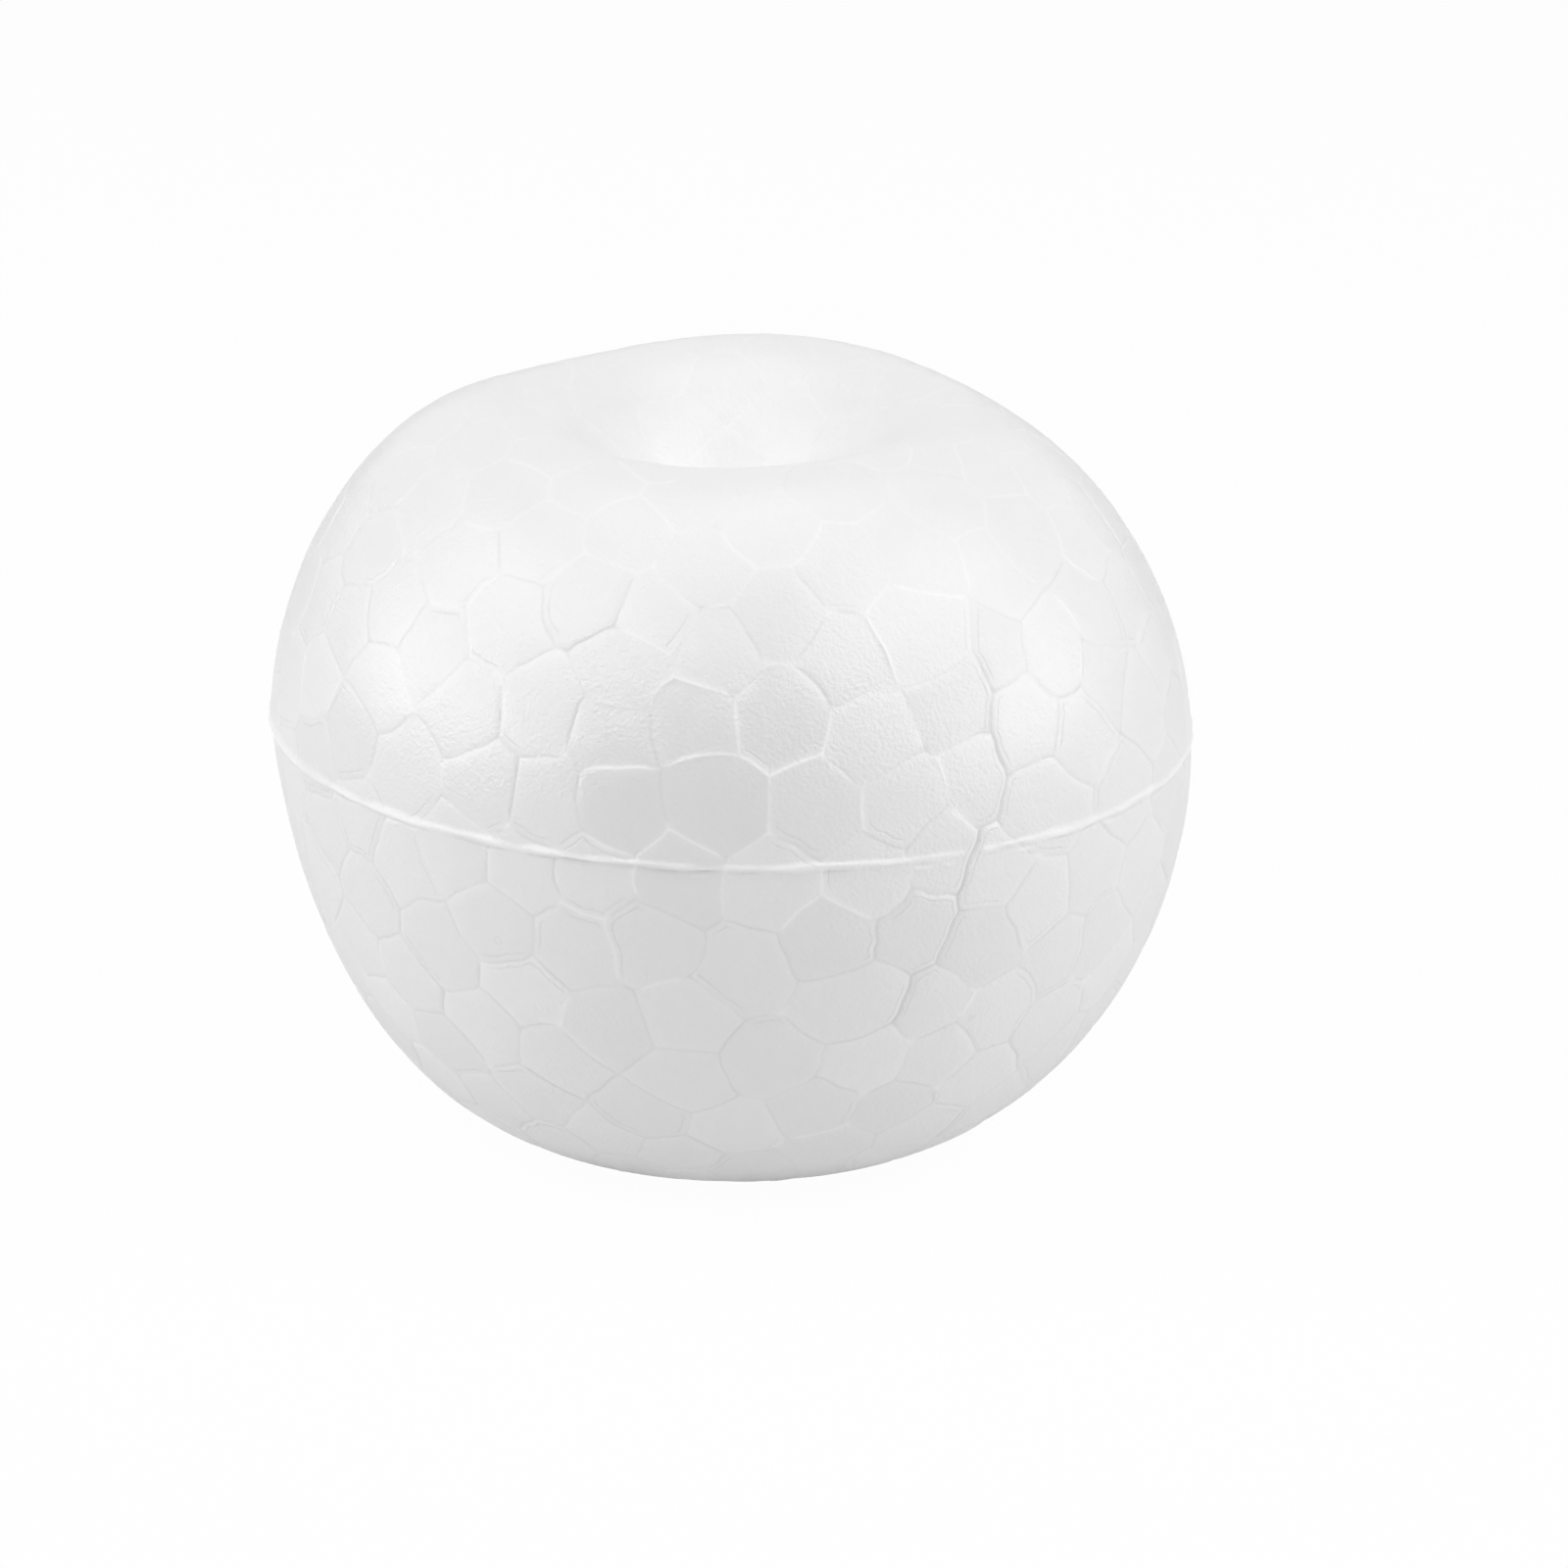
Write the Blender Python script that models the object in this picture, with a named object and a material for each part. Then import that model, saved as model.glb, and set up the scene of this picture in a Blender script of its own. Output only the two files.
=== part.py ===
"""Polystyrene craft apple, moulded in one piece from fused foam beads.

The body stands on a small flat base, +Z up, with its origin at the base's centre.
The front of the apple faces -Y. All lengths are in metres.
"""

import heapq
import math

import bmesh
import bpy
import numpy as np
from mathutils import Vector

# Outline of the turned form
WIDTH = 0.0750
PARTING_HEIGHT = 0.0343
RIM_HEIGHT = 0.0601
RIM_RADIUS = 0.0190
HOLLOW_DEPTH = 0.0150
BASE_RADIUS = 0.0140
SHOULDER_FULLNESS = 1.72
BELLY_FULLNESS = 1.93
HOLLOW_TAPER = 0.75

# How the moulded form departs from a turned one
LOBE_COUNT = 3
LOBE_RISE = 0.00055
LOBE_SWELL = 0.0006
LOBE_AZIMUTH = math.radians(75.0)
TOP_LEAN = -0.00065
BELLY_LEAN = 0.0007

# Bead relief in the skin; the spread is the random nudge of a bead from its regular place
BEAD_SIZE = 0.0074
BEAD_SPREAD = 0.0022
SETTLING_ROUNDS = 2
GROOVE_DEPTH = 0.00020
GROOVE_HALF_WIDTH = 0.00050
BEAD_CROWN = 0.00010

# Flash along the parting line, between the two mould halves
FLASH_HEIGHT = 0.00025
FLASH_FOOT_WIDTH = 0.0010
FLASH_CREST_WIDTH = 0.0003

# Open crease between badly fused beads, at the right of the front
CREASE_AZIMUTH = math.radians(-61.0)
CREASE_TOP = 0.0500
CREASE_FOOT = 0.0215
CREASE_DEPTH = 0.0006
CREASE_FLASH_GAP = 0.0012

SEED = 7
PROFILE_STEPS = 400
NEAR_AXIS = 1e-6
CUT_SNAP = 0.00003
DEEPEST_INSET = 0.5
GOLDEN_ANGLE = math.pi * (3.0 - math.sqrt(5.0))
BODY_RADIUS = WIDTH / 2.0 - FLASH_HEIGHT


def turned_profile():
    """Radius and height from the base's centre, over the belly and rim, into the hollow."""
    turn = np.linspace(0.0, math.pi / 2.0, PROFILE_STEPS)
    base_r = np.linspace(0.0, BASE_RADIUS, PROFILE_STEPS)
    base_z = np.zeros(PROFILE_STEPS)
    belly = turn[::-1]
    belly_r = BASE_RADIUS + (BODY_RADIUS - BASE_RADIUS) * np.cos(belly) ** (2.0 / BELLY_FULLNESS)
    belly_z = PARTING_HEIGHT * (1.0 - np.sin(belly) ** (2.0 / BELLY_FULLNESS))
    shoulder_rise = RIM_HEIGHT - PARTING_HEIGHT
    shoulder_r = RIM_RADIUS + (BODY_RADIUS - RIM_RADIUS) * np.cos(turn) ** (2.0 / SHOULDER_FULLNESS)
    shoulder_z = PARTING_HEIGHT + shoulder_rise * np.sin(turn) ** (2.0 / SHOULDER_FULLNESS)
    hollow_r = RIM_RADIUS * np.linspace(1.0, 0.0, PROFILE_STEPS)
    sink = 0.5 + 0.5 * np.cos(math.pi * (hollow_r / RIM_RADIUS) ** HOLLOW_TAPER)
    hollow_z = RIM_HEIGHT - HOLLOW_DEPTH * sink
    r = np.concatenate([base_r, belly_r[1:], shoulder_r[1:], hollow_r[1:]])
    z = np.concatenate([base_z, belly_z[1:], shoulder_z[1:], hollow_z[1:]])
    return r, z


class AppleForm:
    """The apple's surface, reached from directions on a unit sphere.

    The map keeps small shapes as they are, so round beads stay round everywhere.
    The sphere's equator is the parting line and its top is the floor of the hollow.
    """

    def __init__(self):
        self.r, self.z = turned_profile()
        step_r = np.diff(self.r)
        step_z = np.diff(self.z)
        step = np.hypot(step_r, step_z)
        self.run = np.concatenate([[0.0], np.cumsum(step)])
        mean_r = np.maximum(0.5 * (self.r[1:] + self.r[:-1]), NEAR_AXIS)
        stretch = np.concatenate([[0.0], np.cumsum(step / mean_r)])
        self.stretch = stretch - np.interp(self.run_at_parting(), self.run, stretch)
        band = 2.0 * math.pi * mean_r * step
        self.area = np.concatenate([[0.0], np.cumsum(band)])
        self.normal_r = np.gradient(self.z, self.run)
        self.normal_z = -np.gradient(self.r, self.run)

    def run_at_parting(self):
        return self.run[int(np.argmax(self.r))]

    def direction(self, run, azimuth):
        """Unit direction of the point at a length of profile from the base's centre."""
        height = math.tanh(np.interp(run, self.run, self.stretch))
        level = math.sqrt(max(0.0, 1.0 - height * height))
        return Vector((level * math.cos(azimuth), level * math.sin(azimuth), height))

    def on_meridian(self, height):
        """Point of the skin at a height along the crease's meridian."""
        outer = self.run <= self.run_at_rim()
        run = np.interp(height, self.z[outer], self.run[outer])
        return self.place(self.direction(run, CREASE_AZIMUTH), 0.0)

    def run_of(self, direction):
        level = max(NEAR_AXIS, direction.xy.length)
        return np.interp(math.asinh(direction.z / level), self.stretch, self.run)

    def place(self, direction, lift):
        """Point above (or, with a negative lift, below) the skin in a direction."""
        run = self.run_of(direction)
        azimuth = math.atan2(direction.y, direction.x)
        r = np.interp(run, self.run, self.r)
        z = np.interp(run, self.run, self.z)
        r_out = r + lift * np.interp(run, self.run, self.normal_r)
        z_out = z + lift * np.interp(run, self.run, self.normal_z)
        shift, swell, rise = self.departure(run, r, z, azimuth)
        x = (r_out + swell) * math.cos(azimuth) + shift
        y = (r_out + swell) * math.sin(azimuth)
        return Vector((x, y, max(0.0, z_out + rise)))

    def departure(self, run, r, z, azimuth):
        """Sideways shift, radial swell and rise of the moulded form at a point."""
        lobe = math.cos(LOBE_COUNT * (azimuth - LOBE_AZIMUTH))
        if run < self.run_at_parting():
            share = 1.0 - z / PARTING_HEIGHT
            lean = BELLY_LEAN * 4.0 * share * (1.0 - share)
            return 0.0, lean * math.cos(azimuth), 0.0
        share = (z - PARTING_HEIGHT) / (RIM_HEIGHT - PARTING_HEIGHT)
        if run > self.run_at_rim():
            share = 1.0
        fade = min(1.0, r / RIM_RADIUS)
        swell = LOBE_SWELL * lobe * share ** 2 * fade
        rise = LOBE_RISE * lobe * share ** 3 * fade
        return TOP_LEAN * share, swell, rise

    def run_at_rim(self):
        return self.run[int(np.argmax(self.z))]


def bead_seeds(form):
    """Bead centres along a golden-angle spiral of equal areas, nudged and then settled."""
    rng = np.random.default_rng(SEED)
    total = form.area[-1]
    count = round(total / (BEAD_SIZE ** 2 * math.sqrt(3.0) / 2.0))
    seeds = [form.direction(0.0, 0.0)]
    for index in range(1, count):
        run = np.interp(total * index / (count - 0.5), form.area, form.run)
        reach = max(BEAD_SIZE / 2.0, np.interp(run, form.run, form.r))
        along, around = rng.normal(0.0, BEAD_SPREAD, 2)
        seeds.append(form.direction(abs(run + along), index * GOLDEN_ANGLE + around / reach))
    for _ in range(SETTLING_ROUNDS):
        corners, cells = bead_cells(form, seeds)
        seeds = [middle_of(corners, ring) for ring in cells]
        seeds[0] = form.direction(0.0, 0.0)
    return seeds


def middle_of(corners, ring):
    return sum((corners[number] for number in ring), Vector()).normalized()


def bead_cells(form, seeds):
    """Corners shared by the beads, and each bead's ring of corner numbers.

    The hull of the seeds joins neighbouring beads by triangles. Each triangle's
    normal points at the corner where its three beads meet.
    """
    hull = bmesh.new()
    verts = [hull.verts.new(seed) for seed in seeds]
    bmesh.ops.convex_hull(hull, input=verts)
    hull.faces.index_update()
    corners = []
    for face in hull.faces:
        face.normal_update()
        outward = 1.0 if face.normal.dot(face.calc_center_median()) > 0.0 else -1.0
        corners.append(face.normal * outward)
    stand_in = merged_corners(form, hull, corners)
    cells = []
    for vert in verts:
        across = vert.co.orthogonal().normalized()
        up = vert.co.normalized().cross(across)
        around = sorted(
            (face.index for face in vert.link_faces),
            key=lambda index: math.atan2(corners[index].dot(up), corners[index].dot(across)),
        )
        ring = list(dict.fromkeys(stand_in[index] for index in around))
        if len(ring) > 2:
            cells.append(ring)
    hull.free()
    return corners, cells


def merged_corners(form, hull, corners):
    """For each corner, the corner that stands for it: corners closer than a groove are one."""
    places = [form.place(corner, 0.0) for corner in corners]
    stand_in = list(range(len(corners)))
    for edge in hull.edges:
        kept, dropped = (face.index for face in edge.link_faces)
        if (places[kept] - places[dropped]).length < 2.0 * GROOVE_HALF_WIDTH:
            old = stand_in[dropped]
            stand_in = [stand_in[kept] if number == old else number for number in stand_in]
    return stand_in


def crease_path(form, corners, cells):
    """Corners along the bead borders that lead most directly down the crease."""
    places = {number: form.place(corners[number], 0.0) for ring in cells for number in ring}
    neighbours = {number: set() for number in places}
    for ring in cells:
        for here, after in zip(ring, ring[1:] + ring[:1]):
            neighbours[here].add(after)
            neighbours[after].add(here)
    start, finish = (
        min(places, key=lambda number: (places[number] - end).length)
        for end in (form.on_meridian(CREASE_TOP), form.on_meridian(CREASE_FOOT))
    )
    queue = [(0.0, start, [start])]
    visited = set()
    here = None
    while here != finish:
        cost, here, path = heapq.heappop(queue)
        if here in visited:
            continue
        visited.add(here)
        for after in neighbours[here] - visited:
            place = places[after]
            aside = abs(math.atan2(place.y, place.x) - CREASE_AZIMUTH) * BODY_RADIUS
            length = (place - places[here]).length
            heapq.heappush(queue, (cost + length * (1.0 + aside / BEAD_SIZE), after, path + [after]))
    return path


def flash_break(form, corners, crease):
    """Azimuth at which the crease crosses the parting line."""
    places = [form.place(corners[number], 0.0) for number in crease]
    for upper, lower in zip(places, places[1:]):
        if lower.z <= PARTING_HEIGHT <= upper.z:
            share = (upper.z - PARTING_HEIGHT) / (upper.z - lower.z)
            crossing = upper.lerp(lower, share)
            return math.atan2(crossing.y, crossing.x)
    return CREASE_AZIMUTH


def bead_skin(form):
    """Closed mesh of all beads, and the azimuth at which the crease breaks the flash."""
    corners, cells = bead_cells(form, bead_seeds(form))
    crease = crease_path(form, corners, cells)
    skin = bmesh.new()
    border = {}
    for number in sorted({number for ring in cells for number in ring}):
        depth = CREASE_DEPTH if number in crease else GROOVE_DEPTH
        border[number] = skin.verts.new(form.place(corners[number], -depth))
    for ring in cells:
        add_bead(skin, form, corners, ring, border)
    return skin, flash_break(form, corners, crease)


def add_bead(skin, form, corners, ring, border):
    """One bead: a slope up from the groove on each side, and a crowned face inside."""
    middle = middle_of(corners, ring)
    centre = skin.verts.new(form.place(middle, BEAD_CROWN))
    sides = list(zip(ring, ring[1:] + ring[:1]))
    half_size = min((border[a].co.lerp(border[b].co, 0.5) - centre.co).length for a, b in sides)
    inward = min(DEEPEST_INSET, GROOVE_HALF_WIDTH / half_size)
    shoulder = {
        number: skin.verts.new(form.place(corners[number].lerp(middle, inward), 0.0))
        for number in ring
    }
    for a, b in sides:
        skin.faces.new((border[a], border[b], shoulder[b], shoulder[a]))
        skin.faces.new((shoulder[a], shoulder[b], centre))


def draw_out_flash(skin, break_azimuth):
    """Cut the skin beside the parting plane and draw the strip between out into flash."""
    foot = FLASH_FOOT_WIDTH / 2.0
    crest = FLASH_CREST_WIDTH / 2.0
    for height in (-foot, -crest, crest, foot):
        bmesh.ops.bisect_plane(
            skin,
            geom=skin.verts[:] + skin.edges[:] + skin.faces[:],
            dist=CUT_SNAP,
            plane_co=(0.0, 0.0, PARTING_HEIGHT + height),
            plane_no=(0.0, 0.0, 1.0),
        )
    for vert in skin.verts:
        off_plane = abs(vert.co.z - PARTING_HEIGHT)
        share = (foot - off_plane) / (foot - crest)
        azimuth = math.atan2(vert.co.y, vert.co.x)
        from_break = abs(azimuth - break_azimuth) * BODY_RADIUS
        if share > 0.0 and from_break > CREASE_FLASH_GAP:
            radius = vert.co.xy.length
            drawn = BODY_RADIUS + FLASH_HEIGHT - radius
            vert.co.xy *= 1.0 + drawn * min(1.0, share) / radius


def foam_material():
    material = bpy.data.materials.new("white_foam")
    material.use_nodes = True
    shader = material.node_tree.nodes["Principled BSDF"]
    shader.inputs["Base Color"].default_value = (0.86, 0.86, 0.86, 1.0)
    shader.inputs["Roughness"].default_value = 0.45
    shader.inputs["Metallic"].default_value = 0.0
    return material


def make_apple():
    form = AppleForm()
    skin, break_azimuth = bead_skin(form)
    draw_out_flash(skin, break_azimuth)
    bmesh.ops.triangulate(skin, faces=skin.faces[:])
    bmesh.ops.recalc_face_normals(skin, faces=skin.faces[:])
    mesh = bpy.data.meshes.new("foam_apple")
    skin.to_mesh(mesh)
    skin.free()
    mesh.materials.append(foam_material())
    mesh.shade_smooth()
    apple = bpy.data.objects.new("foam_apple", mesh)
    bpy.context.collection.objects.link(apple)


def main():
    for old in list(bpy.data.objects):
        bpy.data.objects.remove(old, do_unlink=True)
    make_apple()


main()
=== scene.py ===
"""Looks of the polystyrene craft apple: its fused-bead skin, flash, foam finish and studio."""

import heapq
import math

import bmesh
import bpy
import numpy as np
from mathutils import Matrix, Vector


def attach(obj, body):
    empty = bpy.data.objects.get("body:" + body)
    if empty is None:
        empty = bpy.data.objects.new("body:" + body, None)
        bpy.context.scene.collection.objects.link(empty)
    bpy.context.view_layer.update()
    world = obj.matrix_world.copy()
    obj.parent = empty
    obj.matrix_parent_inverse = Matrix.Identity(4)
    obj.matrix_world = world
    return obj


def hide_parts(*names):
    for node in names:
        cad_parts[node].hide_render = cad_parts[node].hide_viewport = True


bl_info = {
    "name": "Foam Craft Apple",
    "version": (1, 0, 0),
    "blender": (4, 5, 0),
    "location": "3D View > Sidebar > Foam Apple",
    "description": "Models the bead skin of a moulded foam apple and lights it in a white studio",
    "category": "Object",
}

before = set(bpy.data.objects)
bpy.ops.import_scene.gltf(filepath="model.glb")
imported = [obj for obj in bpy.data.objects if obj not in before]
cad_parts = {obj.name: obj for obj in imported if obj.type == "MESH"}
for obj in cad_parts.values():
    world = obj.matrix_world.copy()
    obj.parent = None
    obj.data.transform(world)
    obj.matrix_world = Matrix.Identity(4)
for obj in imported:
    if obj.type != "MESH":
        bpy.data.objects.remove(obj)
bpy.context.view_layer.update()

NODE = "foam_apple"
MM = 0.001
GOLDEN_ANGLE = math.pi * (3.0 - math.sqrt(5.0))
PROFILE_STEPS = 400
NEAR_AXIS = 1e-6

# Distances in from a bead's border at which the skin has a ring of points
RING_INSETS = tuple(MM * inset for inset in (0.0, 0.08, 0.18, 0.32, 0.60, 1.10, 1.90))
DEEPEST_INSET = 0.80

# Share of the way by which the crease's corners are turned towards its line
CREASE_PULL = 0.5

# Height over which the crease opens from its top
CREASE_START = 6.0 * MM

# Heights: where the quieter top starts, how far it takes to be so, and one below all of the hollow
TOP_START = 50.0 * MM
TOP_FADE = 6.0 * MM
HOLLOW_LOWEST = 40.0 * MM

# The front, where most borders are white ridges, partly a painted highlight: its direction, height above
# the parting line and reach
FRONT_AZIMUTH = math.radians(-90.0)
FRONT_RISE = 6.0 * MM
FRONT_REACH = 11.5 * MM

# Ridges in place of grooves: their usual share, and their added share at the front, partly painted
# highlight, and on top
RIDGE_SHARE = 0.12
RIDGE_SHARE_FRONT_HIGHLIGHT = 0.75
RIDGE_SHARE_TOP = 0.80
RIDGE_HEIGHT = 0.9
RIDGE_FRONT_HIGHLIGHT = 0.4

# How far a border bows and wavers, as shares of its length, and how its width and depth vary
SIDE_BOW = 0.045
SIDE_WAVER = 0.012
WIDTH_SPREAD = (0.7, 1.5)
DEPTH_SPREAD = (0.25, 1.5)
DEPTH_WAVE = 0.25
DEPTH_WAVES = (0.5, 2.0)
CORNER_STEPS = 2.5

# Strength of the line drawn along a border, and how much quieter borders are on top
LINE_SPREAD = (0.2, 1.1)
TOP_QUIET = 0.5
HOLLOW_QUIET = 0.4
CREASE_LINE = 1.5
CREASE_LEAST = 0.2

# A bead's own face: its share of double borders, and the spread of its crown, step and tilt
DOUBLE_SHARE = 0.18
PILLOW_SPREAD = 0.8
STEP_SPREAD = 0.006 * MM
TILT_SPREAD = 0.006
FACE_START = 0.3 * MM
PILLOW_REACH = 0.9 * MM
GROOVE_POWER = 1.6
HUB_INSET = 3.0

# Painted dark reflection: a few beads just above the parting line, a little to the left of the front,
# darkened as painted shade
DARK_REFLECTION_AZIMUTH = math.radians(-97.0)
DARK_REFLECTION_RISE = 4.5 * MM
DARK_REFLECTION_REACH = 6.5 * MM
DARK_REFLECTION_STRENGTH = 3.6

# Heights of the level cuts that give the flash its form, from the parting line
FLASH_CUTS = tuple(
    MM * cut for cut in (-1.10, -0.92, -0.70, -0.55, -0.40, -0.22, -0.08, 0.08, 0.22, 0.40, 0.60)
)
CUT_THRESHOLD = 1e-6


def length_property(name, description, default):
    return bpy.props.FloatProperty(
        name=name, description=description, default=default, unit="LENGTH", precision=5
    )


def ratio_property(name, description, default):
    return bpy.props.FloatProperty(name=name, description=description, default=default, precision=4)


def angle_property(name, description, default):
    return bpy.props.FloatProperty(
        name=name, description=description, default=math.radians(default), subtype="ANGLE"
    )


def colour_property(name, description, default):
    return bpy.props.FloatVectorProperty(
        name=name, description=description, default=default, size=3, min=0.0, max=1.0, subtype="COLOR"
    )


class FoamAppleForm(bpy.types.PropertyGroup):
    """Outline of the moulded apple."""

    width: length_property("Width", "Overall width across the flash", 0.0750)
    parting_height: length_property("Parting height", "Height of the parting line", 0.0343)
    rim_height: length_property("Rim height", "Mean height of the rim round the hollow", 0.06006)
    rim_radius: length_property("Rim radius", "Radius of the rim's crest", 0.0190)
    hollow_depth: length_property("Hollow depth", "Depth of the stalk hollow below the rim", 0.0150)
    base_radius: length_property("Base radius", "Radius at which the flat base ends", 0.0140)
    shoulder_fullness: ratio_property("Shoulder fullness", "Exponent of the upper outline", 1.72)
    belly_fullness: ratio_property("Belly fullness", "Exponent of the lower outline", 1.93)
    hollow_taper: ratio_property("Hollow taper", "Below 1, the hollow narrows to a funnel", 0.75)
    lobe_count: bpy.props.IntProperty(name="Lobes", description="Number of soft lobes on top", default=3)
    lobe_rise: length_property("Lobe rise", "Height of the lobes at the rim", 0.00055)
    lobe_swell: length_property("Lobe swell", "Sideways swell of the lobes", 0.0006)
    lobe_azimuth: angle_property("Lobe azimuth", "Direction of the first lobe", 75.0)
    top_lean: length_property("Top lean", "Sideways lean of the top", -0.00065)
    belly_lean: length_property("Belly lean", "Sideways fullness of the belly", 0.0007)


class FoamAppleSkin(bpy.types.PropertyGroup):
    """Bead relief, flash and crease in the skin."""

    seed: bpy.props.IntProperty(name="Seed", description="Number that fixes the bead layout", default=7)
    bead_size: length_property("Bead size", "Distance between bead centres", 0.0067)
    bead_spread: length_property("Bead spread", "Random nudge of a bead from its regular place", 0.0017)
    settling_rounds: bpy.props.IntProperty(name="Settling", description="Rounds of evening out", default=2)
    corner_merge: length_property("Corner merge", "Corners closer than this are one", 0.0010)
    side_step: length_property("Side step", "Length of skin edges along a bead's border", 0.00080)
    groove_depth: length_property("Groove depth", "Mean depth of the groove round a bead", 0.00006)
    groove_width: length_property("Groove width", "Half width of the groove", 0.00016)
    pillow: length_property("Pillow", "Mean drop of a bead's face towards its border", 0.00004)
    crease_azimuth: angle_property("Crease azimuth", "Direction of the open crease at its top", -53.0)
    crease_lean: angle_property("Crease lean", "Turn of the crease from its top to its foot", -13.5)
    crease_top: length_property("Crease top", "Height at which the crease starts", 0.0500)
    crease_foot: length_property("Crease foot", "Height at which the crease ends", 0.0215)
    crease_depth: length_property("Crease depth", "Depth of the open crease", 0.00013)
    crease_width: length_property("Crease width", "Half width of the open crease", 0.00020)
    flash_height: length_property("Flash height", "Height of the flash above the skin", 0.00025)
    flash_foot: length_property("Flash foot", "Half width of the flash at its foot", 0.00036)
    flash_crest: length_property("Flash crest", "Half width of the flash at its crest", 0.00009)
    flash_gap: length_property("Flash gap", "Half length of the break at the crease", 0.0005)


class FoamAppleLook(bpy.types.PropertyGroup):
    """Colours of the foam and the studio."""

    foam: colour_property("Foam", "Colour of the beads", (0.90, 0.90, 0.90))
    border: colour_property("Border", "Colour of the lines between the beads", (0.80, 0.80, 0.80))
    flash: colour_property("Flash", "Colour of the thin flash", (0.97, 0.97, 0.97))
    floor: colour_property("Floor", "Colour of the floor", (0.88, 0.88, 0.88))


class AppleForm:
    """The apple's surface, reached from directions on a unit sphere.

    The map keeps small shapes as they are, so round beads stay round everywhere.
    The sphere's equator is the parting line and its top is the floor of the hollow.
    """

    def __init__(self, size, flash_height):
        self.size = size
        self.body_radius = size.width / 2.0 - flash_height
        self.r, self.z = self.turned_profile()
        step = np.hypot(np.diff(self.r), np.diff(self.z))
        self.run = np.concatenate([[0.0], np.cumsum(step)])
        mean_r = np.maximum(0.5 * (self.r[1:] + self.r[:-1]), NEAR_AXIS)
        self.parting_run = self.run[int(np.argmax(self.r))]
        self.rim_run = self.run[int(np.argmax(self.z))]
        stretch = np.concatenate([[0.0], np.cumsum(step / mean_r)])
        self.stretch = stretch - np.interp(self.parting_run, self.run, stretch)
        self.area = np.concatenate([[0.0], np.cumsum(2.0 * math.pi * mean_r * step)])
        self.normal_r = np.gradient(self.z, self.run)
        self.normal_z = -np.gradient(self.r, self.run)

    def turned_profile(self):
        """Radius and height from the base's centre, over belly and rim, into the hollow."""
        size = self.size
        turn = np.linspace(0.0, math.pi / 2.0, PROFILE_STEPS)
        base_r = np.linspace(0.0, size.base_radius, PROFILE_STEPS)
        belly = turn[::-1]
        belly_r = size.base_radius + (self.body_radius - size.base_radius) * np.cos(belly) ** (
            2.0 / size.belly_fullness
        )
        belly_z = size.parting_height * (1.0 - np.sin(belly) ** (2.0 / size.belly_fullness))
        shoulder_r = size.rim_radius + (self.body_radius - size.rim_radius) * np.cos(turn) ** (
            2.0 / size.shoulder_fullness
        )
        shoulder_z = size.parting_height + (size.rim_height - size.parting_height) * np.sin(turn) ** (
            2.0 / size.shoulder_fullness
        )
        share = np.linspace(1.0, 0.0, PROFILE_STEPS)
        hollow_r = size.rim_radius * share
        hollow_z = size.rim_height - size.hollow_depth * (
            0.5 + 0.5 * np.cos(math.pi * share ** size.hollow_taper)
        )
        r = np.concatenate([base_r, belly_r[1:], shoulder_r[1:], hollow_r[1:]])
        z = np.concatenate([np.zeros(PROFILE_STEPS), belly_z[1:], shoulder_z[1:], hollow_z[1:]])
        return r, z

    def direction(self, run, azimuth):
        """Unit direction of the point at a length of profile from the base's centre."""
        height = math.tanh(np.interp(run, self.run, self.stretch))
        level = math.sqrt(max(0.0, 1.0 - height * height))
        return Vector((level * math.cos(azimuth), level * math.sin(azimuth), height))

    def place(self, directions, lifts):
        """Points above (or, with a negative lift, below) the skin in each direction."""
        directions = np.asarray(directions, float).reshape(-1, 3)
        size = self.size
        level = np.maximum(NEAR_AXIS, np.hypot(directions[:, 0], directions[:, 1]))
        run = np.interp(np.arcsinh(directions[:, 2] / level), self.stretch, self.run)
        azimuth = np.arctan2(directions[:, 1], directions[:, 0])
        r = np.interp(run, self.run, self.r)
        z = np.interp(run, self.run, self.z)
        upper = run >= self.parting_run
        low_share = np.clip(1.0 - z / size.parting_height, 0.0, 1.0)
        top_share = (z - size.parting_height) / (size.rim_height - size.parting_height)
        top_share = np.where(run > self.rim_run, 1.0, np.clip(top_share, 0.0, 1.0)) * upper
        fade = np.minimum(1.0, r / size.rim_radius)
        lobe = np.cos(size.lobe_count * (azimuth - size.lobe_azimuth))
        belly = size.belly_lean * 4.0 * low_share * (1.0 - low_share) * np.cos(azimuth)
        swell = np.where(upper, size.lobe_swell * lobe * top_share ** 2 * fade, belly)
        rise = size.lobe_rise * lobe * top_share ** 3 * fade
        reach = r + swell + lifts * np.interp(run, self.run, self.normal_r)
        height = z + rise + lifts * np.interp(run, self.run, self.normal_z)
        x = reach * np.cos(azimuth) + size.top_lean * top_share
        y = reach * np.sin(azimuth)
        return np.column_stack([x, y, np.maximum(0.0, height)])

    def spot(self, direction):
        return Vector(self.place(direction, 0.0)[0])

    def on_meridian(self, height, azimuth):
        outer = self.run <= self.rim_run
        run = np.interp(height, self.z[outer], self.run[outer])
        return self.spot(self.direction(run, azimuth))


def middle_of(corners, ring):
    return sum((corners[number] for number in ring), Vector()).normalized()


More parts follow.
